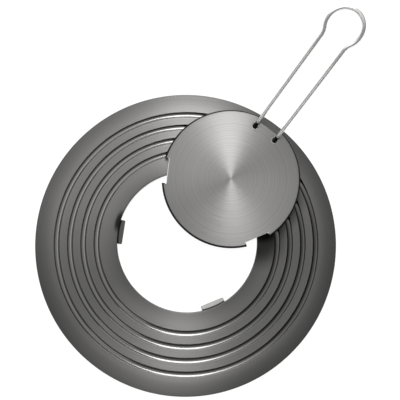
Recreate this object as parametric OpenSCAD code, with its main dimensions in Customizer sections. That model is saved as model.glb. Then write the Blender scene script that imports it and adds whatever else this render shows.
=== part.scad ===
// Stove heat plate: a grooved ring, a lift-out centre disc and the wire handle that lifts it.
// The disc lies on the ring, off to one side, with the handle's hooks still in its two holes.
// The ring's underside is the plane z = 0, and the ring's centre is the origin.

/* [Ring plate] */
// Outer diameter of the ring
ring_d = 240; // [200:1:280]
// Thickness of the ring
ring_t = 4; // [3.6:0.1:6]
// Diameter of the hole in the ring
hole_d = 112; // [90:1:130]
// Radius of the ring's rounded upper rim
ring_edge_r = 1; // [0.4:0.1:1.6]
// Width of the chamfers round the hole and under the ring's rim
ring_chamfer = 0.5; // [0.2:0.1:0.8]

/* [Grooves in the ring] */
// Distance from the hole's wall to the middle of the first groove
groove_start = 16; // [8:0.5:24]
// Distance from one groove's middle to the next
groove_pitch = 10.35; // [7:0.05:16]
// Width of a groove at the ring's face
groove_w = 4.6; // [3.4:0.1:6]
// Depth of a groove at its middle
groove_depth = 1.1; // [0.5:0.1:1.6]
// Least width of the plain band outside the last groove
outer_band = 14; // [6:0.5:24]

/* [Ledges in the hole] */
// Number of ledges, and of notches in the disc
ledge_count = 3; // [3:1:5]
// Direction of the first ledge, seen from above
ledge_angle = 52; // [0:1:119]
// Width of a ledge along the hole's wall
ledge_w = 19.2; // [10:0.1:26]
// How far a ledge reaches into the hole
ledge_reach = 4.4; // [2.5:0.1:7]
// Thickness of a ledge
ledge_t = 1.5; // [1:0.1:1.8]
// Radius of a ledge's free corners
ledge_corner_r = 1; // [0.4:0.1:1.8]

/* [Centre disc] */
// Gap between the disc's rim and the hole's wall, with the disc in the hole
disc_gap = 0.25; // [0.15:0.05:1]
// Gap between a notch and the ledge that it passes over
notch_gap = 0.3; // [0.2:0.05:1]
// Radius of the disc's rounded upper rim
disc_edge_r = 1.2; // [0.4:0.1:1.3]
// Width of the chamfers under the disc's rim and at both ends of its two holes
disc_chamfer = 0.5; // [0.2:0.05:0.6]

/* [Wire handle] */
// Diameter of the wire
wire_d = 3; // [2:0.1:4]
// Distance between the middles of the two legs
leg_spacing = 19.6; // [14:0.1:26]
// Distance from the disc's rim to the line through the middles of its two holes
hole_inset = 9.8; // [8:0.1:16]
// Length of a leg's straight run
leg_length = 78; // [40:1:120]
// Angle between the legs and the disc's face
leg_rise = 32; // [10:1:60]
// Radius of the bend from a hook into its leg, at the wire's middle
leg_bend_r = 8; // [4:0.5:14]
// How far the finger loop stands out beyond each leg
loop_swell = 3.6; // [1:0.1:8]
// Radius of the outward bend at each foot of the loop, at the wire's middle
loop_foot_r = 10.7; // [6:0.1:20]
// Length of the straight tail of each hook, under the disc
hook_tail = 9; // [4:0.5:14]
// Gap between the wire and the wall of its hole
wire_gap = 0.8; // [0.5:0.1:1.4]

/* [Disc laid on the ring] */
// Distance between the disc's rim and the ring's rim, where they come closest
lay_margin = 3.1; // [0:0.1:10]
// Direction in which the disc lies from the ring's centre, seen from above
lay_angle = 55.3; // [0:0.1:120]
// Turn of the disc and its handle from that direction, counted clockwise
handle_turn = 2; // [-10:0.1:10]
// Gap left where one piece lies on another
rest_gap = 0.2; // [0.1:0.05:0.4]

/* [Hidden] */
$fn = 180;
small_fn = 48;
// How far a cutter runs past what it cuts
over = 1;
// Least distance by which two rounded shapes cross, or stop short, where they would just touch
hair = 0.01;

ring_r = ring_d / 2;
hole_r = hole_d / 2;
groove_arc_r = (groove_w * groove_w / 4 + groove_depth * groove_depth) / (2 * groove_depth);
groove_first_r = hole_r + groove_start;
groove_last_r = ring_r - outer_band - groove_w / 2;
ledge_step = 360 / ledge_count;

// In the hole, the disc lies on the ledges with its face level with the ring's.
disc_r = hole_r - disc_gap;
disc_t = ring_t - ledge_t;
notch_r = hole_r - ledge_reach - notch_gap;
notch_w = ledge_w + 2 * notch_gap;

// A hook's stem stands in the hole, and its tail lies close under the disc.
wire_r = wire_d / 2;
wire_hole_r = wire_r + wire_gap;
wire_hole_x = disc_r - hole_inset;
hook_bend_r = wire_d;
tail_z = -rest_gap - wire_r;
tail_end_x = wire_hole_x - hook_bend_r - hook_tail;
stem_bottom_z = tail_z + hook_bend_r;
stem_top_z = disc_t + rest_gap;

// Runs and bends of wire stop a hair short of each other, and a ball a hair wider joins them.
joint_r = wire_r + hair;

// Each leg bends outward by foot_turn and then runs tangent into the loop, so the middles of the
// two bends and the place where they meet stand on one line.
loop_r = leg_spacing / 2 + loop_swell;
foot_y = leg_spacing / 2 + loop_foot_r;
foot_turn = acos(foot_y / (loop_foot_r + loop_r));
foot_height = (loop_foot_r + loop_r) * sin(foot_turn);

// The laid disc touches the hole's upper edge where its rim crosses it, and its hooks' tails stand
// on the ring. Distances named _along run from the ring's centre in the handle's direction.
lay_distance = ring_r - disc_r - lay_margin;
chord_distance = (hole_r * hole_r - disc_r * disc_r + lay_distance * lay_distance) / (2 * lay_distance);
half_chord = sqrt(hole_r * hole_r - chord_distance * chord_distance);
handle_angle = lay_angle - handle_turn;
disc_along = lay_distance * cos(handle_turn);
disc_aside = lay_distance * sin(handle_turn);
pivot_along = chord_distance * cos(handle_turn) - half_chord * abs(sin(handle_turn));
lay_tilt = atan((wire_r - tail_z) / (disc_along + tail_end_x - pivot_along));

// Strip that points at the centre and ends there in an arc with rounded corners
module radial_strip(inner_r, outer_r, width, corner_r) {
    corner_y = width / 2 - corner_r;
    corner_x = sqrt(pow(inner_r + corner_r, 2) - corner_y * corner_y);
    touch_y = corner_y * inner_r / (inner_r + corner_r);
    difference() {
        translate([0, -touch_y]) square([outer_r, 2 * touch_y]);
        circle(r = inner_r);
    }
    translate([corner_x, -width / 2]) square([outer_r - corner_x, width]);
    for (side = [-1, 1])
        translate([corner_x, side * corner_y]) circle(r = corner_r + hair, $fn = small_fn);
}

// Half section of a round plate with a rounded upper rim and a chamfer under it
module plate_section(outer_r, thickness, edge_r, chamfer) {
    difference() {
        union() {
            square([outer_r, thickness - edge_r]);
            square([outer_r - edge_r, thickness]);
            translate([outer_r - edge_r, thickness - edge_r]) circle(r = edge_r, $fn = small_fn);
        }
        polygon([
            [outer_r - chamfer - over, -over], [outer_r + over, -over], [outer_r + over, chamfer + over]
        ]);
    }
}

// Half section of the ring's hole, chamfered at both faces
module hole_section() {
    mouth_r = hole_r + ring_chamfer + over;
    polygon([
        [0, -over], [mouth_r, -over], [hole_r, ring_chamfer],
        [hole_r, ring_t - ring_chamfer], [mouth_r, ring_t + over], [0, ring_t + over]
    ]);
}

// Half section of one groove, as a round-nosed tool leaves it
module groove_section(middle_r) {
    translate([middle_r, ring_t - groove_depth + groove_arc_r])
        circle(r = groove_arc_r, $fn = small_fn);
}

// Level with the underside, and run into the ring past the hole's chamfer
module ledge() {
    linear_extrude(ledge_t)
        radial_strip(hole_r - ledge_reach, hole_r + 2 * ring_chamfer, ledge_w, ledge_corner_r);
}

module ring_plate() {
    color("dimgray") {
        rotate_extrude() difference() {
            plate_section(ring_r, ring_t, ring_edge_r, ring_chamfer);
            hole_section();
            for (middle_r = [groove_first_r : groove_pitch : groove_last_r]) groove_section(middle_r);
        }
        for (i = [0 : ledge_count - 1]) rotate([0, 0, ledge_angle + i * ledge_step]) ledge();
    }
}

// Drilled hole with a chamfer at each face of the disc
module wire_hole() {
    mouth_r = wire_hole_r + disc_chamfer + over;
    translate([0, 0, -over]) cylinder(h = disc_t + 2 * over, r = wire_hole_r);
    translate([0, 0, -over]) cylinder(h = disc_chamfer + over, r1 = mouth_r, r2 = wire_hole_r);
    translate([0, 0, disc_t - disc_chamfer])
        cylinder(h = disc_chamfer + over, r1 = wire_hole_r, r2 = mouth_r);
}

// Moves what is drawn about the disc's centre, on z = 0, to where the disc lies on the ring
module laid_on_ring() {
    rotate([0, 0, handle_angle])
        translate([pivot_along, disc_aside, ring_t + rest_gap])
            rotate([0, -lay_tilt, 0])
                translate([disc_along - pivot_along, 0, 0])
                    children();
}

module centre_disc() {
    color("darkgray") laid_on_ring() difference() {
        rotate_extrude() plate_section(disc_r, disc_t, disc_edge_r, disc_chamfer);
        for (i = [0 : ledge_count - 1]) rotate([0, 0, i * ledge_step])
            translate([0, 0, -over]) linear_extrude(disc_t + 2 * over)
                radial_strip(notch_r, disc_r + over, notch_w, ledge_corner_r);
        for (side = [-1, 1]) translate([wire_hole_x, side * leg_spacing / 2, 0]) wire_hole();
    }
}

module wire_joint() {
    sphere(r = joint_r, $fn = small_fn);
}

// Straight wire along +X
module wire_run(length) {
    rotate([0, 90, 0]) translate([0, 0, hair])
        cylinder(h = length - 2 * hair, r = wire_r, $fn = small_fn);
}

// Wire bent round the Z axis, by turn degrees from the direction start
module wire_bend(bend_r, start, turn) {
    hair_turn = hair / bend_r * 180 / PI;
    rotate([0, 0, start + hair_turn]) rotate_extrude(angle = turn - 2 * hair_turn)
        translate([bend_r, 0]) circle(r = wire_r, $fn = small_fn);
}

// Tail, lower bend, stem and upper bend of one hook, in the plane y = 0
module hook() {
    translate([tail_end_x, 0, tail_z]) {
        wire_joint();
        wire_run(hook_tail);
        translate([hook_tail, 0, 0]) wire_joint();
        translate([hook_tail, 0, hook_bend_r]) rotate([90, 0, 0]) wire_bend(hook_bend_r, -90, 90);
    }
    translate([wire_hole_x, 0, stem_bottom_z]) {
        wire_joint();
        rotate([0, -90, 0]) wire_run(stem_top_z - stem_bottom_z);
    }
    translate([wire_hole_x, 0, stem_top_z]) {
        wire_joint();
        translate([leg_bend_r, 0, 0]) rotate([90, 0, 0])
            wire_bend(leg_bend_r, 90 + leg_rise, 90 - leg_rise);
    }
}

// Both legs and the loop in the plane z = 0, with the legs along +X from x = 0
module legs_and_loop() {
    for (side = [-1, 1]) {
        translate([0, side * leg_spacing / 2, 0]) {
            wire_joint();
            wire_run(leg_length);
            translate([leg_length, 0, 0]) wire_joint();
        }
        translate([leg_length, side * foot_y, 0]) {
            wire_bend(loop_foot_r, side > 0 ? -90 : 90 - foot_turn, foot_turn);
            rotate([0, 0, side * (foot_turn - 90)]) translate([loop_foot_r, 0, 0]) wire_joint();
        }
    }
    translate([leg_length + foot_height, 0, 0])
        wire_bend(loop_r, -90 - foot_turn, 180 + 2 * foot_turn);
}

module wire_handle() {
    color("silver") laid_on_ring() {
        for (side = [-1, 1]) translate([0, side * leg_spacing / 2, 0]) hook();
        translate([wire_hole_x + leg_bend_r * (1 - sin(leg_rise)), 0,
                   stem_top_z + leg_bend_r * cos(leg_rise)])
            rotate([0, -leg_rise, 0]) legs_and_loop();
    }
}

ring_plate();
centre_disc();
wire_handle();
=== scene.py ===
"""Stove heat plate: a grooved ring, a spun centre disc that lies on it, and the disc's wire handle.

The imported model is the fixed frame. Each class holds the sizes of one piece in millimetres, models it in
edit mode with the fine edges that its plain solid lacks, dresses it and lets it stand in the solid's
place. The frame's unit is the metre, so a length is times MM where it goes into a mesh or a material.
"""

from __future__ import annotations

import logging
import math
from collections.abc import Callable
from dataclasses import dataclass, field
from enum import Enum, IntEnum

import bmesh
import bpy
from mathutils import Matrix, Vector

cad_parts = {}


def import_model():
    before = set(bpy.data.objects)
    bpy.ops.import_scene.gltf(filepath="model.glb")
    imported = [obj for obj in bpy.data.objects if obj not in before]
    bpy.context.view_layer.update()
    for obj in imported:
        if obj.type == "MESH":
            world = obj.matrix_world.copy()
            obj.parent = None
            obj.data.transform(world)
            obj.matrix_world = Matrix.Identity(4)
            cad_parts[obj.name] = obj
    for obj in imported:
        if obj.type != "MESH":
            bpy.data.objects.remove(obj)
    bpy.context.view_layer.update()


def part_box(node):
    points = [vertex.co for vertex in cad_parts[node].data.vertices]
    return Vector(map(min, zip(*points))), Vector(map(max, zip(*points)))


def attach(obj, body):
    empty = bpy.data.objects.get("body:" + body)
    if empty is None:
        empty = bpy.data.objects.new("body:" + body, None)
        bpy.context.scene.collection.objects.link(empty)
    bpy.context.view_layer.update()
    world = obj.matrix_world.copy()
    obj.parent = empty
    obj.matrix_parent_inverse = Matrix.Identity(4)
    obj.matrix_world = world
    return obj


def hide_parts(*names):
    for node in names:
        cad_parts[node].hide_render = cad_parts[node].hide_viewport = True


LOG = logging.getLogger("heat_plate")
MM = 0.001
ROOT_BODY = "root"
OVER = 1.0
PICK_SLACK = 0.1
FACE_SLACK = 0.01
MERGE_GAP = 0.002
LINE_DEPTH = 0.05
WAVE_DEPTH = 0.1
FLAT_WEIGHT = 100
UP = (0.0, 0.0, 1.0)
ASIDE = (0.0, 1.0, 0.0)
WHITE = (1.0, 1.0, 1.0, 1.0)

Colour = tuple[float, float, float]
Place = tuple[float, float, float]
Point = tuple[float, float]


class Operation(Enum):
    """What a second shape does to a piece."""

    JOIN = "UNION"
    CUT = "DIFFERENCE"


class RingZone(IntEnum):
    """Material slots of the ring."""

    FLATS = 0
    LEDGES = 1
    GROOVES = 2


class DiscZone(IntEnum):
    """Material slots of the disc."""

    FACE = 0
    # Painted shade: the rim band, the drill walls and the notch walls under the handle, near-black.
    RIM = 1
    CUTS = 2


class WireZone(IntEnum):
    """Material slots of the handle."""

    BRIGHT = 0
    # Painted reflection: the stems near the holes, near-black.
    STEM = 1


class NodeBoard:
    """Lays out a node tree, one node at a time."""

    def __init__(self, tree: bpy.types.NodeTree) -> None:
        """Empties the tree.

        Args:
            tree: The node tree of a material or a world.
        """
        self.tree = tree
        tree.nodes.clear()

    def add(self, kind: str, inputs: dict | None = None, **settings: object) -> bpy.types.Node:
        """Adds a node.

        Args:
            kind: The node's type.
            inputs: What goes into its sockets: a socket to link, or a value.
            settings: Properties of the node itself.

        Returns:
            The new node.
        """
        node = self.tree.nodes.new(kind)
        for name, value in settings.items():
            setattr(node, name, value)
        for key, value in (inputs or {}).items():
            if isinstance(value, bpy.types.NodeSocket):
                self.tree.links.new(value, node.inputs[key])
            else:
                node.inputs[key].default_value = value
        return node

    def math(self, operation: str, *values: object) -> bpy.types.NodeSocket:
        """Returns the result of a Math node."""
        return self.add("ShaderNodeMath", dict(enumerate(values)), operation=operation).outputs[0]

    def vector(self, operation: str, *values: object) -> bpy.types.NodeSocket:
        """Returns the result of a Vector Math node: a number for LENGTH and DOT_PRODUCT, or a vector."""
        node = self.add("ShaderNodeVectorMath", dict(enumerate(values)), operation=operation)
        return node.outputs["Value" if operation in ("LENGTH", "DOT_PRODUCT") else "Vector"]

    def scale(self, vector: object, factor: bpy.types.NodeSocket) -> bpy.types.NodeSocket:
        """Returns a vector or a colour times a number."""
        node = self.add("ShaderNodeVectorMath", {0: vector, "Scale": factor}, operation="SCALE")
        return node.outputs["Vector"]

    def ramp(self, factor: bpy.types.NodeSocket, stops: tuple[Point, ...]) -> bpy.types.NodeSocket:
        """Returns a smooth curve of a number, as a Float Curve node.

        Args:
            factor: The number that the curve reads.
            stops: Pairs of factor and result, in rising order.
        """
        low, high = stops[0][0], stops[-1][0]
        node = self.add("ShaderNodeFloatCurve")
        curve = node.mapping.curves[0]
        places = [((stop - low) / (high - low), value) for stop, value in stops]
        while len(curve.points) < len(places):
            curve.points.new(0.5, 0.5)
        for point, place in zip(curve.points, places):
            point.location = place
            point.handle_type = "AUTO_CLAMPED"
        node.mapping.update()
        share = self.add("ShaderNodeMapRange", {"Value": factor, "From Min": low, "From Max": high})
        self.tree.links.new(share.outputs["Result"], node.inputs["Value"])
        return node.outputs["Value"]


@dataclass(frozen=True)
class TurnedFrame:
    """The middle and the axis of a round piece, in metres, for patterns that run in circles."""

    centre: Vector
    axis: Vector

    def radial(self, board: NodeBoard) -> bpy.types.NodeSocket:
        """Returns the vector that points from the piece's axis straight out to the surface."""
        place = board.add("ShaderNodeTexCoord").outputs["Object"]
        offset = board.vector("SUBTRACT", place, tuple(self.centre))
        along = board.vector("PROJECT", offset, tuple(self.axis))
        return board.vector("SUBTRACT", offset, along)


@dataclass(frozen=True)
class PaintedShade:
    """A soft patch of painted shade: an ellipse, darkest in its core. Lengths are in millimetres."""

    middle: Place
    turn: float
    half_length: float
    half_width: float
    darkness: float
    core: float = 0.35

    def fade(self, board: NodeBoard) -> bpy.types.NodeSocket:
        """Returns the factor by which the patch darkens: 1 away from it."""
        place = board.add("ShaderNodeTexCoord").outputs["Object"]
        local = board.add(
            "ShaderNodeMapping",
            {
                "Vector": place,
                "Location": tuple(MM * value for value in self.middle),
                "Rotation": (0.0, 0.0, math.radians(self.turn)),
                "Scale": (self.half_width * MM, self.half_length * MM, 1.0),
            },
            vector_type="TEXTURE",
        )
        reach = board.vector("LENGTH", local.outputs["Vector"])
        soft = board.add(
            "ShaderNodeMapRange",
            {
                "Value": reach,
                "From Min": self.core,
                "From Max": 1.0,
                "To Min": 1 - self.darkness,
                "To Max": 1.0,
            },
            interpolation_type="SMOOTHSTEP",
        )
        return soft.outputs["Result"]


@dataclass(frozen=True)
class SpunFinish:
    """Metal brushed in circles round an axis: its fine lines, its glint and bands of painted shade.

    Colours are linear. The shade stops darken the colour by radius, as painted shade, and the patches add
    painted shade in soft ellipses. Radii in the shade stops and falls are millimetres from the axis. A
    fall is how steeply the face drops away outwards, as a share of one, where the plate is very slightly
    crowned.
    """

    name: str
    colour: Colour
    painted_shade_stops: tuple[Point, ...]
    roughness: float
    roughness_swing: float
    anisotropy: float
    line_pitch: float
    line_shade: float
    line_bump: float
    wander: float
    wander_pitch: float
    falls: tuple[Point, ...] = ()
    painted_shades: tuple[PaintedShade, ...] = ()

    def build(self, frame: TurnedFrame) -> bpy.types.Material:
        """Makes the material.

        Args:
            frame: The middle and axis that the lines run round.

        Returns:
            The new material.
        """
        material = new_material(self.name)
        board = NodeBoard(material.node_tree)
        radial = frame.radial(board)
        radius = board.math("MULTIPLY", board.vector("LENGTH", radial), 1 / MM)
        fine = self.lines(board, radius, self.line_pitch, detail=2.0)
        broad = self.lines(board, radius, self.wander_pitch, detail=1.0)
        # Painted shade: the colour darkens by radius.
        shade = board.ramp(radius, self.painted_shade_stops)
        lined = board.math("MULTIPLY_ADD", fine, 2 * self.line_shade, 1 - self.line_shade)
        brightness = board.math("MULTIPLY", shade, lined)
        # Painted shade: each patch darkens the colour where shade falls.
        for painted_patch in self.painted_shades:
            brightness = board.math("MULTIPLY", brightness, painted_patch.fade(board))
        swing = board.math("MULTIPLY_ADD", broad, 2 * self.roughness_swing, -self.roughness_swing)
        lean = board.math("MULTIPLY_ADD", broad, 2 * self.wander, -self.wander)
        outwards = board.vector("NORMALIZE", radial)
        tangent = board.add(
            "ShaderNodeVectorRotate",
            {"Vector": outwards, "Axis": tuple(frame.axis), "Angle": lean},
            rotation_type="AXIS_ANGLE",
        )
        bump = board.add(
            "ShaderNodeBump", {"Strength": self.line_bump, "Distance": LINE_DEPTH * MM, "Height": fine}
        )
        if self.falls:
            drop = board.scale(outwards, board.ramp(radius, self.falls))
            upright = board.add("ShaderNodeNewGeometry").outputs["Normal"]
            crowned = board.vector("NORMALIZE", board.vector("ADD", upright, drop))
            board.tree.links.new(crowned, bump.inputs["Normal"])
        shader = board.add(
            "ShaderNodeBsdfPrincipled",
            {
                "Base Color": board.scale(self.colour, brightness),
                "Metallic": 1.0,
                "Roughness": board.math("ADD", swing, self.roughness),
                "Anisotropic": self.anisotropy,
                "Tangent": tangent.outputs["Vector"],
                "Normal": bump.outputs["Normal"],
            },
        )
        board.add("ShaderNodeOutputMaterial", {"Surface": shader.outputs["BSDF"]})
        return material

    def lines(
        self, board: NodeBoard, radius: bpy.types.NodeSocket, pitch: float, detail: float
    ) -> bpy.types.NodeSocket:
        """Returns noise that changes with the radius alone, from 0 to 1, with a mean of 0.5.

        Args:
            board: The node tree.
            radius: Distance from the axis in millimetres.
            pitch: Rough distance from one line to the next, in millimetres.
            detail: Octaves of finer lines.
        """
        place = board.math("DIVIDE", radius, pitch)
        noise = board.add(
            "ShaderNodeTexNoise", {"W": place, "Scale": 1.0, "Detail": detail}, noise_dimensions="1D"
        )
        return noise.outputs["Fac"]


@dataclass(frozen=True)
class EdgeFinish:
    """An edge without spun lines: the disc's rim band and the wire's stems, painted near-black as shade
    and dark reflection, and the disc's bare cuts, lightened into a painted highlight.
    """

    name: str
    colour: Colour
    metallic: float
    gloss: float
    roughness: float
    mottle: float
    mottle_size: float

    def build(self) -> bpy.types.Material:
        """Makes the material."""
        material = new_material(self.name)
        board = NodeBoard(material.node_tree)
        place = board.add("ShaderNodeTexCoord").outputs["Object"]
        noise = board.add(
            "ShaderNodeTexNoise", {"Vector": place, "Scale": 1 / (self.mottle_size * MM), "Detail": 2.0}
        )
        change = board.math("MULTIPLY_ADD", noise.outputs["Fac"], 2 * self.mottle, -self.mottle)
        shader = board.add(
            "ShaderNodeBsdfPrincipled",
            {
                "Base Color": (*self.colour, 1.0),
                "Metallic": self.metallic,
                "Specular IOR Level": self.gloss,
                "Roughness": board.math("ADD", change, self.roughness),
            },
        )
        board.add("ShaderNodeOutputMaterial", {"Surface": shader.outputs["BSDF"]})
        return material


@dataclass(frozen=True)
class WireFinish:
    """Polished stainless wire with the faint waviness of drawing and bending."""

    name: str
    colour: Colour
    roughness: float
    roughness_swing: float
    wave_size: float
    wave_bump: float
    metallic: float
    edge_tint: float

    def build(self) -> bpy.types.Material:
        """Makes the material."""
        material = new_material(self.name)
        board = NodeBoard(material.node_tree)
        place = board.add("ShaderNodeTexCoord").outputs["Object"]
        noise = board.add(
            "ShaderNodeTexNoise", {"Vector": place, "Scale": 1 / (self.wave_size * MM), "Detail": 1.0}
        )
        wave = noise.outputs["Fac"]
        swing = board.math("MULTIPLY_ADD", wave, 2 * self.roughness_swing, -self.roughness_swing)
        bump = board.add(
            "ShaderNodeBump", {"Strength": self.wave_bump, "Distance": WAVE_DEPTH * MM, "Height": wave}
        )
        shader = board.add(
            "ShaderNodeBsdfPrincipled",
            {
                "Base Color": (*self.colour, 1.0),
                "Metallic": self.metallic,
                "Specular Tint": (*[self.edge_tint] * 3, 1.0),
                "Roughness": board.math("ADD", swing, self.roughness),
                "Normal": bump.outputs["Normal"],
            },
        )
        board.add("ShaderNodeOutputMaterial", {"Surface": shader.outputs["BSDF"]})
        return material


def new_material(name: str) -> bpy.types.Material:
    """Returns an empty material that uses nodes."""
    material = bpy.data.materials.new(name)
    material.use_nodes = True
    return material


class Workpiece:
    """One mesh on the bench, kept in edit mode while operators shape it. Sizes are in millimetres."""

    def __init__(self, name: str) -> None:
        """Takes the primitive that was just added, and opens it with all of it selected.

        Args:
            name: The piece's name.
        """
        self.object = bpy.context.object
        self.object.name = name
        self.object.data.name = name
        self.radius = 0.0
        self.height = 0.0
        bpy.ops.object.transform_apply(location=True, rotation=True, scale=True)
        bpy.ops.object.mode_set(mode="EDIT")
        bpy.ops.mesh.select_all(action="SELECT")

    @classmethod
    def from_circle(cls, name: str, radius: float, height: float, count: int) -> Workpiece:
        """Starts a round piece from one open circle about the Z axis.

        Args:
            name: The piece's name.
            radius: Radius of the circle.
            height: Height of the circle.
            count: Number of points round it.

        Returns:
            The new piece, with the circle selected.
        """
        bpy.ops.object.select_all(action="DESELECT")
        bpy.ops.mesh.primitive_circle_add(
            vertices=count, radius=radius * MM, fill_type="NOTHING", location=(0, 0, height * MM)
        )
        piece = cls(name)
        piece.radius, piece.height = radius, height
        return piece

    @classmethod
    def from_box(cls, name: str, low: Place, high: Place) -> Workpiece:
        """Starts a piece from a box between two corners.

        Args:
            name: The piece's name.
            low: The box's lowest corner.
            high: The corner across from it.

        Returns:
            The new piece, with the box selected.
        """
        bpy.ops.object.select_all(action="DESELECT")
        middle = [(a + b) / 2 * MM for a, b in zip(low, high)]
        bpy.ops.mesh.primitive_cube_add(size=1, location=middle)
        bpy.context.object.scale = [(b - a) * MM for a, b in zip(low, high)]
        return cls(name)

    def draw_out(self, radius: float, height: float) -> None:
        """Extrudes the selected circle to another radius and height."""
        rise = (height - self.height) * MM
        factor = radius / self.radius
        bpy.ops.mesh.extrude_edges_move(TRANSFORM_OT_translate={"value": (0, 0, rise)})
        bpy.ops.transform.resize(value=(factor, factor, 1), center_override=(0, 0, 0))
        self.radius, self.height = radius, height

    def draw_profile(self, points: list[Point]) -> None:
        """Extrudes the selected circle along a profile of radii and heights."""
        for radius, height in points:
            self.draw_out(radius, height)

    def cap(self) -> None:
        """Fills the selected circle with one face and selects the whole piece."""
        bpy.ops.mesh.edge_face_add()
        bpy.ops.mesh.select_all(action="SELECT")

    def select_faces(self, wanted: Callable[[bmesh.types.BMFace], bool]) -> None:
        """Selects the faces that a test picks, and nothing else."""
        self.select("FACE", lambda mesh: mesh.faces, wanted)

    def select_edges(self, wanted: Callable[[bmesh.types.BMEdge], bool]) -> None:
        """Selects the edges that a test picks, and nothing else."""
        self.select("EDGE", lambda mesh: mesh.edges, wanted)

    def select(self, mode: str, members: Callable, wanted: Callable) -> None:
        """Selects the members that a test picks, in one select mode."""
        bpy.ops.mesh.select_mode(type=mode)
        bpy.ops.mesh.select_all(action="DESELECT")
        mesh = bmesh.from_edit_mesh(self.object.data)
        for member in members(mesh):
            if wanted(member):
                member.select_set(True)
        mesh.select_flush_mode()
        bmesh.update_edit_mesh(self.object.data)

    def round_circles(self, corners: list[Point], width: float, segments: int) -> None:
        """Rounds the circular edges that run through corners of the profile.

        Args:
            corners: Radius and height of each corner.
            width: How far the rounding reaches from each corner.
            segments: Number of faces across each rounding.
        """
        places = {(round(radius, 2), round(height, 2)) for radius, height in corners}

        def at_corner(edge: bmesh.types.BMEdge) -> bool:
            """Says whether an edge runs round one of the corner circles."""
            ends = {(round(end.co.xy.length / MM, 2), round(end.co.z / MM, 2)) for end in edge.verts}
            return len(ends) == 1 and ends <= places

        self.select_edges(at_corner)
        self.bevel(width, segments)

    def bevel(self, width: float, segments: int) -> None:
        """Bevels the selected edges."""
        bpy.ops.mesh.bevel(
            offset=width * MM, segments=segments, profile=0.5, affect="EDGES", offset_type="OFFSET"
        )

    def close(self) -> bpy.types.Object:
        """Merges doubles, turns the faces outwards, leaves edit mode and returns the object."""
        self.merge()
        bpy.ops.mesh.normals_make_consistent(inside=False)
        bpy.ops.object.mode_set(mode="OBJECT")
        return self.object

    def merge(self) -> None:
        """Merges the points of the whole piece that lie in one place."""
        bpy.ops.mesh.select_all(action="SELECT")
        bpy.ops.mesh.remove_doubles(threshold=MERGE_GAP * MM)


def upright_edges(limit: float) -> Callable[[bmesh.types.BMEdge], bool]:
    """Returns a test for the upright edges of a box whose X, in millimetres, is under a limit."""

    def stands(edge: bmesh.types.BMEdge) -> bool:
        """Says whether an edge stands upright on the near side of the limit."""
        first, second = (end.co for end in edge.verts)
        return max(first.x, second.x) < limit * MM and abs(first.y - second.y) < MM

    return stands


def combine(piece: bpy.types.Object, tool: bpy.types.Object, operation: Operation) -> None:
    """Joins a shape to a piece, or cuts it away, and deletes the shape.

    Args:
        piece: The piece that stays.
        tool: The shape that is joined or cut away.
        operation: Whether the shape is joined or cut away.
    """
    make_only(piece)
    bpy.ops.object.modifier_add(type="BOOLEAN")
    modifier = piece.modifiers[-1]
    modifier.operation = operation.value
    modifier.solver = "EXACT"
    modifier.object = tool
    bpy.ops.object.modifier_apply(modifier=modifier.name)
    bpy.data.objects.remove(tool)


def make_only(piece: bpy.types.Object) -> None:
    """Makes a piece the active object, and the only one selected."""
    bpy.ops.object.select_all(action="DESELECT")
    piece.select_set(True)
    bpy.context.view_layer.objects.active = piece


def smooth(piece: bpy.types.Object, angle: float) -> None:
    """Shades a piece smooth up to an angle, with its flat faces left flat.

    Args:
        piece: The piece to shade.
        angle: Degrees past which an edge stays sharp.
    """
    make_only(piece)
    bpy.ops.object.shade_smooth_by_angle(angle=math.radians(angle))
    bpy.ops.object.modifier_add(type="WEIGHTED_NORMAL")
    modifier = piece.modifiers[-1]
    modifier.weight = FLAT_WEIGHT
    modifier.keep_sharp = True
    bpy.ops.object.modifier_apply(modifier=modifier.name)


def turned_copy(piece: bpy.types.Object, turn: float) -> bpy.types.Object:
    """Returns a copy of a piece with its own mesh, turned about the Z axis by some degrees."""
    other = piece.copy()
    other.data = piece.data.copy()
    bpy.context.collection.objects.link(other)
    other.data.transform(Matrix.Rotation(math.radians(turn), 4, "Z"))
    return other


def stand_in(piece: bpy.types.Object, node: str) -> None:
    """Lets a piece take a solid's place on the body, and logs how far their boxes differ.

    Args:
        piece: The finished piece.
        node: Name of the solid, and of its material slot.
    """
    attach(piece, ROOT_BODY)
    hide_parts(node)
    low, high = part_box(node)
    corners = [piece.matrix_world @ Vector(corner) for corner in piece.bound_box]
    for side, index in (("low", 0), ("high", 6)):
        solid = low if side == "low" else high
        off = [round((a - b) / MM, 2) for a, b in zip(corners[index], solid)]
        LOG.info("%s: %s corner is off its solid's by %s mm", node, side, off)
    triangles = sum(len(face.vertices) - 2 for face in piece.data.polygons)
    LOG.info("%s: %d triangles", node, triangles)


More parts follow.
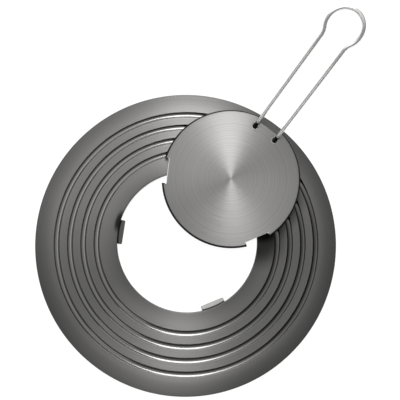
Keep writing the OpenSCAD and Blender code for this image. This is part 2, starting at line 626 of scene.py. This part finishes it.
@dataclass
class Ring:
    """The grooved ring with its three ledges. It lies on the floor, about the origin."""

    node: str = "ring_plate"
    outer_r: float = 120.0
    thickness: float = 4.0
    hole_r: float = 56.0
    rim_r: float = 1.0
    chamfer: float = 0.5
    groove_first: float = 72.0
    groove_pitch: float = 10.35
    groove_count: int = 4
    groove_w: float = 4.6
    groove_depth: float = 1.1
    groove_steps: int = 10
    edge_round: float = 0.14
    land_circles: tuple[float, ...] = (1.5, 2.5, 3.5, 5.0, 8.0)
    points_round: int = 480
    rim_segments: int = 6
    edge_segments: int = 3
    crease: float = 35.0
    ledge_angles: tuple[float, ...] = (52.0, 172.0, 292.0)
    ledge_reach: float = 4.4
    ledge_half_w: float = 9.6
    ledge_root: float = 1.75
    ledge_tip: float = 1.2
    ledge_corner: float = 1.0
    corner_segments: int = 6
    ledge_round: float = 0.3
    finish: SpunFinish = field(default_factory=lambda: RING_FINISH)
    ledge_finish: SpunFinish = field(default_factory=lambda: LEDGE_FINISH)
    groove_finish: SpunFinish = field(default_factory=lambda: GROOVE_FINISH)

    def groove_arcs(self) -> list[list[Point]]:
        """Returns points along the arc of each groove's section, from the hole outwards."""
        half_w = self.groove_w / 2
        arc_r = (half_w ** 2 + self.groove_depth ** 2) / (2 * self.groove_depth)
        half_turn = math.asin(half_w / arc_r)
        steps = range(self.groove_steps + 1)
        turns = [half_turn * (2 * step / self.groove_steps - 1) for step in steps]
        low = self.thickness - self.groove_depth
        middles = [self.groove_first + index * self.groove_pitch for index in range(self.groove_count)]
        return [
            [(middle + arc_r * math.sin(turn), low + arc_r * (1 - math.cos(turn))) for turn in turns]
            for middle in middles
        ]

    def body(self) -> bpy.types.Object:
        """Returns the ring without its ledges, extruded circle by circle round its section."""
        top, chamfer = self.thickness, self.chamfer
        start = (self.hole_r + chamfer, 0.0)
        hole = [(self.hole_r, chamfer), (self.hole_r, top - chamfer), (self.hole_r + chamfer, top)]
        land = [(self.hole_r + offset, top) for offset in self.land_circles]
        arcs = self.groove_arcs()
        rim = [(self.outer_r, top), (self.outer_r, chamfer), (self.outer_r - chamfer, 0.0)]
        piece = Workpiece.from_circle(self.node + "_piece", *start, self.points_round)
        piece.draw_profile([*hole, *land, *(point for arc in arcs for point in arc), *rim, start])
        piece.merge()
        piece.round_circles([rim[0]], self.rim_r, self.rim_segments)
        piece.round_circles(hole, self.edge_round, self.edge_segments)
        return piece.close()

    def ledge(self) -> bpy.types.Object:
        """Returns one ledge along +X: a box with a lower tip, round corners and a round upper edge."""
        tip_x = self.hole_r - self.ledge_reach
        root_x = self.hole_r + 2 * self.chamfer
        half_w = self.ledge_half_w
        near_tip = tip_x + PICK_SLACK
        near_root = root_x - PICK_SLACK
        piece = Workpiece.from_box("ledge", (tip_x, -half_w, 0), (root_x, half_w, self.ledge_root))
        piece.select_edges(
            lambda edge: all(end.co.x < near_tip * MM and end.co.z > 0 for end in edge.verts)
        )
        bpy.ops.transform.translate(value=(0, 0, (self.ledge_tip - self.ledge_root) * MM))
        piece.select_edges(upright_edges(near_tip))
        piece.bevel(self.ledge_corner, self.corner_segments)
        piece.select_edges(
            lambda edge: all(end.co.z > MM for end in edge.verts)
            and not all(end.co.x > near_root * MM for end in edge.verts)
        )
        piece.bevel(self.ledge_round, self.edge_segments)
        return piece.close()

    def build(self) -> None:
        """Models, dresses and seats the ring."""
        ring = self.body()
        ledge = self.ledge()
        for angle in self.ledge_angles:
            combine(ring, turned_copy(ledge, angle), Operation.JOIN)
        bpy.data.objects.remove(ledge)
        smooth(ring, self.crease)
        frame = TurnedFrame(Vector(), Vector(UP))
        ring.data.materials.append(self.finish.build(frame))
        ring.data.materials.append(self.ledge_finish.build(frame))
        ring.data.materials.append(self.groove_finish.build(frame))
        for face in ring.data.polygons:
            face.material_index = self.zone(face.center / MM)
        stand_in(ring, self.node)

    def zone(self, place: Vector) -> RingZone:
        """Returns the zone that a face's middle, in millimetres, lies in."""
        radius = place.xy.length
        if radius < self.hole_r - PICK_SLACK / 2:
            return RingZone.LEDGES
        inside = self.hole_r + 2 * self.chamfer < radius < self.outer_r - 2 * self.rim_r
        if inside and self.thickness / 2 < place.z < self.thickness - FACE_SLACK:
            return RingZone.GROOVES
        return RingZone.FLATS


@dataclass
class LaidFrame:
    """Where the disc and its handle lie: tipped over the hole's edge, with the hooks' tails on the ring.

    Lengths are in millimetres, along the handle and aside from it, and angles in degrees.
    """

    handle_angle: float = 53.3
    pivot_along: float = 29.15
    aside: float = 2.134
    along: float = 61.113
    base_height: float = 4.2
    tilt: float = 2.78

    def matrix(self) -> Matrix:
        """Returns the move from the disc's own frame, in metres, to the frame of the whole."""
        pivot = Vector((self.pivot_along, self.aside, self.base_height)) * MM
        slide = Vector((self.along - self.pivot_along, 0.0, 0.0)) * MM
        turn = Matrix.Rotation(math.radians(self.handle_angle), 4, "Z")
        tip = Matrix.Rotation(math.radians(-self.tilt), 4, "Y")
        return turn @ Matrix.Translation(pivot) @ tip @ Matrix.Translation(slide)


@dataclass
class Disc:
    """The spun centre disc with three notches and the two holes of the handle."""

    laid: LaidFrame
    node: str = "centre_disc"
    radius: float = 55.75
    thickness: float = 2.5
    rim_r: float = 1.2
    # The rim's band of painted shade: its width inside the rim, and the shift of its circle that makes it
    # wider away from the handle.
    rim_band: float = 1.45
    face_shift: float = 0.25
    chamfer: float = 0.5
    edge_round: float = 0.12
    cut_flare: float = 0.55
    band_circles: tuple[float, ...] = (1.35, 1.5, 1.65)
    face_circles: tuple[float, ...] = (0.94, 0.8, 0.6, 0.4, 0.2, 0.05)
    points_round: int = 360
    rim_segments: int = 8
    edge_segments: int = 2
    crease: float = 35.0
    notch_count: int = 3
    notch_r: float = 51.3
    notch_half_w: float = 9.9
    notch_corner: float = 1.0
    corner_segments: int = 6
    hole_x: float = 45.95
    hole_y: float = 9.8
    hole_r: float = 2.3
    hole_points: int = 64
    finish: SpunFinish = field(default_factory=lambda: DISC_FINISH)
    dark_painted_shade: EdgeFinish = field(default_factory=lambda: DISC_DARK_PAINTED_SHADE)
    bare_cut_painted_highlight: EdgeFinish = field(default_factory=lambda: BARE_CUT_PAINTED_HIGHLIGHT)

    def body(self) -> bpy.types.Object:
        """Returns the round disc, extruded circle by circle from its underside round to its face."""
        top, chamfer = self.thickness, self.chamfer
        rim = [(self.radius - chamfer, 0.0), (self.radius, chamfer), (self.radius, top)]
        band = [self.radius - offset for offset in self.band_circles]
        circles = [*band, *(self.radius * share for share in self.face_circles)]
        piece = Workpiece.from_circle(self.node + "_piece", circles[-1], 0.0, self.points_round)
        piece.cap()
        piece.draw_profile([(radius, 0.0) for radius in reversed(circles[:-1])])
        piece.draw_profile([*rim, *((radius, top) for radius in circles)])
        bpy.ops.mesh.edge_face_add()
        piece.round_circles([rim[-1]], self.rim_r, self.rim_segments)
        piece.round_circles(rim[:-1], self.edge_round, self.edge_segments)
        return piece.close()

    def notch(self) -> bpy.types.Object:
        """Returns the cutter of one notch, along +X: a box with rounded corners, flared at the top."""
        outer_x = self.radius + 2 * OVER
        flare_z = self.thickness - self.cut_flare
        low = (self.notch_r, -self.notch_half_w, -OVER)
        piece = Workpiece.from_box("notch", low, (outer_x, self.notch_half_w, flare_z))
        piece.select_edges(upright_edges(self.notch_r + PICK_SLACK))
        piece.bevel(self.notch_corner, self.corner_segments)
        piece.select_faces(lambda face: face.normal.z > 0.9)
        flare = self.cut_flare + OVER
        bpy.ops.mesh.extrude_region_move(TRANSFORM_OT_translate={"value": (0, 0, flare * MM)})
        bpy.ops.transform.resize(
            value=(1 + flare / (outer_x - self.notch_r), 1 + flare / self.notch_half_w, 1),
            center_override=(outer_x * MM, 0, 0),
        )
        return piece.close()

    def wire_hole(self, side: int) -> bpy.types.Object:
        """Returns the cutter of one hole: a drill with a flare at each face of the disc."""
        flare = self.hole_r + self.chamfer + OVER
        top = self.thickness
        piece = Workpiece.from_circle("drill", flare, -OVER, self.hole_points)
        piece.cap()
        piece.draw_profile([
            (self.hole_r, self.chamfer), (self.hole_r, top - self.chamfer), (flare, top + OVER)
        ])
        bpy.ops.mesh.edge_face_add()
        cutter = piece.close()
        cutter.data.transform(Matrix.Translation((self.hole_x * MM, side * self.hole_y * MM, 0)))
        return cutter

    def build(self) -> None:
        """Models, dresses and seats the disc."""
        disc = self.body()
        notch = self.notch()
        for index in range(self.notch_count):
            combine(disc, turned_copy(notch, index * 360 / self.notch_count), Operation.CUT)
        bpy.data.objects.remove(notch)
        for side in (-1, 1):
            combine(disc, self.wire_hole(side), Operation.CUT)
        smooth(disc, self.crease)
        matrix = self.laid.matrix()
        frame = TurnedFrame(matrix.to_translation(), matrix.to_3x3() @ Vector(UP))
        disc.data.materials.append(self.finish.build(frame))
        disc.data.materials.append(self.dark_painted_shade.build())
        disc.data.materials.append(self.bare_cut_painted_highlight.build())
        for face in disc.data.polygons:
            face.material_index = self.zone(face.center / MM)
        disc.data.transform(matrix)
        stand_in(disc, self.node)

    def zone(self, place: Vector) -> DiscZone:
        """Returns the zone that a face's middle, in millimetres from the disc's own centre, lies in."""
        # Painted shade: the drill walls, a band inside the rim and the notch walls under the handle get
        # the near-black slot.
        drill = Vector((self.hole_x, math.copysign(self.hole_y, place.y)))
        in_drill = (place.xy - drill).length < self.hole_r + PICK_SLACK
        off_face = (place.xy - Vector((self.face_shift, 0.0))).length > self.radius - self.rim_band
        level = place.z < FACE_SLACK or place.z > self.thickness - FACE_SLACK
        under_handle = not level and place.x > self.notch_r - self.notch_corner
        if in_drill or off_face or under_handle:
            return DiscZone.RIM
        return DiscZone.FACE if level else DiscZone.CUTS


@dataclass
class Handle:
    """The wire handle: two hooks, two legs and a finger loop, bent from one wire."""

    laid: LaidFrame
    node: str = "wire_handle"
    wire_r: float = 1.5
    leg_y: float = 9.8
    hole_x: float = 45.95
    tail_z: float = -1.7
    tail_length: float = 9.0
    hook_r: float = 3.0
    stem_top: float = 2.7
    leg_r: float = 8.0
    leg_rise: float = 32.0
    leg_length: float = 78.0
    foot_r: float = 10.7
    loop_r: float = 13.4
    points_round: int = 32
    hook_steps: int = 10
    knee_steps: int = 16
    foot_steps: int = 12
    loop_steps: int = 40
    tail_round: float = 0.92
    tail_segments: int = 6
    crease: float = 50.0
    # Below this height the wire gets a painted dark reflection.
    dark_height: float = 9.3
    finish: WireFinish = field(default_factory=lambda: WIRE_FINISH)
    dark_painted_reflection: EdgeFinish = field(default_factory=lambda: WIRE_DARK_PAINTED_REFLECTION)

    def foot_turn(self) -> float:
        """Returns the angle of the outward bend at the loop's foot, in degrees."""
        return math.degrees(math.acos((self.leg_y + self.foot_r) / (self.foot_r + self.loop_r)))

    def half(self) -> bpy.types.Object:
        """Returns the half of the wire on the +Y side, from its tail to the middle of the loop."""
        end_x = self.hole_x - self.hook_r - self.tail_length
        bpy.ops.object.select_all(action="DESELECT")
        bpy.ops.mesh.primitive_circle_add(
            vertices=self.points_round,
            radius=self.wire_r * MM,
            fill_type="NGON",
            location=((end_x - self.wire_r) * MM, self.leg_y * MM, self.tail_z * MM),
            rotation=(0, math.pi / 2, 0),
        )
        piece = Workpiece(self.node + "_piece")
        rise = math.radians(self.leg_rise)
        turn = self.foot_turn()
        heading = Vector((math.cos(rise), 0.0, math.sin(rise)))
        tilted_axis = Vector((-math.sin(rise), 0.0, math.cos(rise)))
        side_axis = Vector(ASIDE)
        self.run(Vector((1.0, 0.0, 0.0)), self.wire_r + self.tail_length)
        start = Vector((self.hole_x - self.hook_r, self.leg_y, self.tail_z + self.hook_r))
        self.bend(start, side_axis, -90.0, self.hook_steps)
        self.run(Vector(UP), self.stem_top - self.tail_z - self.hook_r)
        knee = Vector((self.hole_x + self.leg_r, self.leg_y, self.stem_top))
        self.bend(knee, side_axis, 90.0 - self.leg_rise, self.knee_steps)
        leg_start = Vector((
            self.hole_x + self.leg_r * (1 - math.sin(rise)),
            self.leg_y,
            self.stem_top + self.leg_r * math.cos(rise),
        ))
        self.run(heading, self.leg_length)
        leg_end = leg_start + heading * self.leg_length
        self.bend(leg_end + side_axis * self.foot_r, tilted_axis, turn, self.foot_steps)
        reach = (self.foot_r + self.loop_r) * math.sin(math.radians(turn))
        centre = leg_end + heading * reach - side_axis * self.leg_y
        self.bend(centre, tilted_axis, -(90.0 + turn), self.loop_steps)
        piece.select_faces(
            lambda face: face.calc_center_median().y < FACE_SLACK * MM and len(face.verts) > 4
        )
        bpy.ops.mesh.delete(type="ONLY_FACE")
        tail_x = (end_x - self.wire_r + FACE_SLACK) * MM
        piece.select_edges(lambda edge: all(end.co.x < tail_x for end in edge.verts))
        piece.bevel(self.wire_r * self.tail_round, self.tail_segments)
        return piece.close()

    def run(self, direction: Vector, length: float) -> None:
        """Extrudes the wire's open end straight ahead."""
        bpy.ops.mesh.extrude_region_move(TRANSFORM_OT_translate={"value": direction * length * MM})

    def bend(self, centre: Vector, axis: Vector, turn: float, steps: int) -> None:
        """Spins the wire's open end round an axis.

        Args:
            centre: A point on the axis, in millimetres.
            axis: The direction of the axis.
            turn: Degrees by the right-hand rule. The operator counts them the other way.
            steps: Number of sections that the bend gets.
        """
        bpy.ops.mesh.spin(
            steps=steps, angle=math.radians(-turn), center=centre * MM, axis=axis, dupli=False
        )

    def build(self) -> None:
        """Models, dresses and seats the handle."""
        wire = self.half()
        make_only(wire)
        bpy.ops.object.modifier_add(type="MIRROR")
        modifier = wire.modifiers[-1]
        modifier.use_axis = (False, True, False)
        modifier.merge_threshold = FACE_SLACK * MM
        bpy.ops.object.modifier_apply(modifier=modifier.name)
        bpy.ops.object.mode_set(mode="EDIT")
        bpy.ops.mesh.select_all(action="SELECT")
        bpy.ops.mesh.normals_make_consistent(inside=False)
        bpy.ops.object.mode_set(mode="OBJECT")
        smooth(wire, self.crease)
        wire.data.materials.append(self.finish.build())
        wire.data.materials.append(self.dark_painted_reflection.build())
        for face in wire.data.polygons:
            # Painted reflection: faces below the height are near-black, as the dark reflection where the
            # wire bends into the holes.
            low = face.center.z < self.dark_height * MM
            face.material_index = WireZone.STEM if low else WireZone.BRIGHT
        wire.data.transform(self.laid.matrix())
        stand_in(wire, self.node)


@dataclass(frozen=True)
class Lamp:
    """A rectangular softbox that looks at the origin. Lengths are in metres, angles in degrees."""

    name: str
    direction: float
    elevation: float
    distance: float
    width: float
    height: float
    radiance: float

    def build(self) -> None:
        """Hangs the lamp and points it at the origin."""
        data = bpy.data.lights.new(self.name, "AREA")
        data.shape = "RECTANGLE"
        data.size, data.size_y = self.width, self.height
        data.energy = self.radiance * math.pi * self.width * self.height
        lamp = bpy.data.objects.new(self.name, data)
        bpy.context.collection.objects.link(lamp)
        flat = math.cos(math.radians(self.elevation))
        way = Vector((
            flat * math.cos(math.radians(self.direction)),
            flat * math.sin(math.radians(self.direction)),
            math.sin(math.radians(self.elevation)),
        ))
        lamp.location = way * self.distance
        lamp.rotation_euler = (-way).to_track_quat("-Z", "Y").to_euler()
        lamp.visible_camera = False


@dataclass
class Studio:
    """The pale floor, the soft light and the camera."""

    sky_strength: float = 0.86
    sky_stops: tuple[Point, ...] = (
        (-1.0, 0.19), (0.38, 0.19), (0.58, 0.44), (0.78, 0.8), (0.95, 1.0), (1.0, 1.0)
    )
    dark_direction: float = 270.0
    dark_reach: float = 0.56
    west_gain: float = 0.3
    floor_size: float = 12.0
    floor_drop: float = 0.05
    floor_colour: float = 0.8
    floor_glow: float = 0.9
    floor_catch: float = 0.2
    camera_place: Place = (-7.63, -6.41, 403.56)
    camera_aim: Place = (10.09, 33.54, 0.0)
    lens: float = 45.0
    lamps: tuple[Lamp, ...] = (
        Lamp("window_high", 85.5, 51.0, 2.0, 0.65, 1.5, 5.9),
        Lamp("window_low", 93.0, 12.0, 2.0, 4.4, 0.8, 1.7),
        Lamp("wall_northwest", 128.0, 56.0, 2.0, 2.2, 1.7, 0.75),
        Lamp("wall_southwest", 233.0, 43.0, 2.0, 0.6, 0.6, 1.2),
    )

    def floor(self) -> None:
        """Lays the floor, which the camera and the metal see as white, with a soft shadow left on it."""
        bpy.ops.object.select_all(action="DESELECT")
        bpy.ops.mesh.primitive_plane_add(size=self.floor_size, location=(0, 0, -self.floor_drop * MM))
        floor = bpy.context.object
        floor.name = "floor"
        bpy.ops.object.transform_apply(location=True, rotation=True, scale=True)
        material = new_material("pale_floor")
        board = NodeBoard(material.node_tree)
        path = board.add("ShaderNodeLightPath").outputs
        seen = board.math("MAXIMUM", path["Is Camera Ray"], path["Is Glossy Ray"])
        seen = board.math("MAXIMUM", seen, path["Is Transmission Ray"])
        plain = board.add("ShaderNodeBsdfDiffuse", {"Color": (*[self.floor_colour] * 3, 1.0)})
        catch = board.add("ShaderNodeBsdfDiffuse", {"Color": (*[self.floor_catch] * 3, 1.0)})
        glow = board.add("ShaderNodeEmission", {"Strength": self.floor_glow})
        lit = board.add("ShaderNodeAddShader", {0: catch.outputs[0], 1: glow.outputs[0]})
        mix = board.add("ShaderNodeMixShader", {0: seen, 1: plain.outputs[0], 2: lit.outputs[0]})
        board.add("ShaderNodeOutputMaterial", {"Surface": mix.outputs[0]})
        floor.data.materials.append(material)

    def world(self) -> None:
        """Sets a dim room: dark along the horizon, higher up to one side, and paler in the west.

        The camera sees the room's walls as white, like the floor.
        """
        world = bpy.data.worlds.new("room")
        bpy.context.scene.world = world
        world.use_nodes = True
        board = NodeBoard(world.node_tree)
        way = board.add("ShaderNodeTexCoord").outputs["Generated"]
        parts = board.add("ShaderNodeSeparateXYZ", {0: way}).outputs
        angle = math.radians(self.dark_direction)
        towards = board.vector("DOT_PRODUCT", way, (math.cos(angle), math.sin(angle), 0.0))
        shade = board.math("MULTIPLY", board.math("MAXIMUM", towards, 0.0), self.dark_reach)
        height = board.math("SUBTRACT", parts["Z"], shade)
        rise = board.ramp(height, self.sky_stops)
        side = board.math("MULTIPLY_ADD", parts["X"], -self.west_gain, 1.0)
        level = board.math("MULTIPLY", board.math("MULTIPLY", rise, side), self.sky_strength)
        seen = board.add("ShaderNodeLightPath").outputs["Is Camera Ray"]
        shown = board.add("ShaderNodeMix", {0: seen, 2: level, 3: 1.0}).outputs[0]
        glow = board.add("ShaderNodeBackground", {"Color": WHITE, "Strength": shown})
        board.add("ShaderNodeOutputWorld", {"Surface": glow.outputs[0]})

    def camera(self) -> None:
        """Sets the camera over the plate, with +Y up in its view."""
        data = bpy.data.cameras.new("camera")
        data.lens = self.lens
        data.clip_start = 0.01
        camera = bpy.data.objects.new("camera", data)
        bpy.context.collection.objects.link(camera)
        place = Vector(self.camera_place) * MM
        look = (Vector(self.camera_aim) * MM - place).normalized()
        right = look.cross(Vector(ASIDE)).normalized()
        turn = Matrix((right, right.cross(look), -look)).transposed()
        camera.matrix_world = Matrix.Translation(place) @ turn.to_4x4()
        bpy.context.scene.camera = camera

    def build(self) -> None:
        """Sets the whole studio."""
        self.camera()
        self.floor()
        self.world()
        for lamp in self.lamps:
            lamp.build()
        bpy.context.scene.view_settings.view_transform = "Standard"


RING_FINISH = SpunFinish(
    name="ring_dark_brushed",
    colour=(0.24, 0.237, 0.233),
    # Painted shade: the ring darker towards the hole and towards the outer rim.
    painted_shade_stops=((56.0, 0.72), (60.0, 0.84), (68.0, 1.0), (104.0, 1.0), (112.0, 0.76), (120.0, 0.55)),
    roughness=0.47,
    roughness_swing=0.03,
    anisotropy=0.92,
    line_pitch=0.7,
    line_shade=0.12,
    line_bump=0.15,
    wander=0.05,
    wander_pitch=3.0,
    falls=((56.0, 0.0), (102.0, 0.0), (112.0, 0.15), (120.0, 0.2)),
    painted_shades=(
        # Painted shade on the ring beside the left ledge's upper half.
        PaintedShade((-54.5, 16.0, 4.0), 164.0, 11.0, 4.0, 0.85),
        # Painted shadow of the disc on the ring, beside the disc's south-east rim and notch.
        PaintedShade((61.0, 6.0, 4.0), 8.0, 9.0, 13.0, 0.85),
        PaintedShade((58.0, 2.0, 4.0), 12.0, 28.0, 26.0, 0.75),
        PaintedShade((76.0, 20.0, 4.0), -35.0, 36.0, 15.0, 0.6),
        # Painted shade: broad darkening of the ring's south-east and south-west.
        PaintedShade((92.0, -72.0, 4.0), 0.0, 135.0, 135.0, 0.31),
        PaintedShade((-90.0, -52.0, 4.0), 0.0, 95.0, 95.0, 0.18),
    ),
)
GROOVE_FINISH = SpunFinish(
    name="groove_turned",
    colour=(0.19, 0.187, 0.184),
    painted_shade_stops=((56.0, 1.0), (120.0, 1.0)),
    roughness=0.16,
    roughness_swing=0.03,
    anisotropy=0.5,
    line_pitch=0.5,
    line_shade=0.1,
    line_bump=0.1,
    wander=0.03,
    wander_pitch=3.0,
    # Painted shade: the grooves darker towards the east.
    painted_shades=(PaintedShade((120.0, -40.0, 4.0), 70.0, 150.0, 110.0, 0.6),),
)
LEDGE_FINISH = SpunFinish(
    name="ledge_bare_brushed",
    colour=(0.36, 0.357, 0.35),
    # Painted shadow: a dark line at each ledge's root, at the foot of the hole's wall.
    painted_shade_stops=((40.0, 0.9), (54.6, 0.9), (55.0, 0.25), (56.0, 0.1), (60.0, 0.1)),
    roughness=0.4,
    roughness_swing=0.03,
    anisotropy=0.6,
    line_pitch=0.7,
    line_shade=0.08,
    line_bump=0.15,
    wander=0.05,
    wander_pitch=3.0,
    # Painted shade: the left ledge darker, as it lies in weaker light.
    painted_shades=(PaintedShade((-54.5, 7.0, 1.5), 172.0, 30.0, 12.0, 0.7),),
)
DISC_FINISH = SpunFinish(
    name="disc_light_spun",
    colour=(0.287, 0.284, 0.279),
    # Painted shade: the disc darker towards its rim.
    painted_shade_stops=((0.0, 1.0), (24.0, 1.0), (44.0, 0.91), (56.0, 0.82)),
    roughness=0.37,
    roughness_swing=0.05,
    anisotropy=0.84,
    line_pitch=0.8,
    line_shade=0.26,
    line_bump=0.25,
    wander=0.1,
    wander_pitch=2.2,
)
# Painted shade: near-black for the disc's rim band, drill walls and notch walls under the handle.
DISC_DARK_PAINTED_SHADE = EdgeFinish("disc_dark_painted_shade", (0.006, 0.006, 0.006), 0.0, 0.2, 0.35, 0.04, 3.0)
# Bare cut metal, lighter than the spun face, made a near-white diffuse so that the notch edges and drill
# flares show a painted highlight.
BARE_CUT_PAINTED_HIGHLIGHT = EdgeFinish("disc_bare_cut_painted_highlight", (0.9, 0.895, 0.88), 0.2, 0.5, 0.4, 0.04, 3.0)
# Painted reflection: near-black where the wire bends down into the disc's holes.
WIRE_DARK_PAINTED_REFLECTION = EdgeFinish("wire_stem_dark_painted_reflection", (0.004, 0.004, 0.004), 0.0, 0.1, 0.45, 0.04, 3.0)
WIRE_FINISH = WireFinish(
    name="wire_polished",
    colour=(0.88, 0.88, 0.87),
    roughness=0.09,
    roughness_swing=0.02,
    wave_size=6.0,
    wave_bump=0.02,
    metallic=0.8,
    edge_tint=0.3,
)


def main() -> None:
    """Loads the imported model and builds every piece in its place."""
    logging.basicConfig(level=logging.INFO, format="%(message)s")
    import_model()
    Studio().build()
    laid = LaidFrame()
    for part in (Ring(), Disc(laid), Handle(laid)):
        part.build()
        LOG.info("%s is built", part.node)


if __name__ == "__main__":
    main()
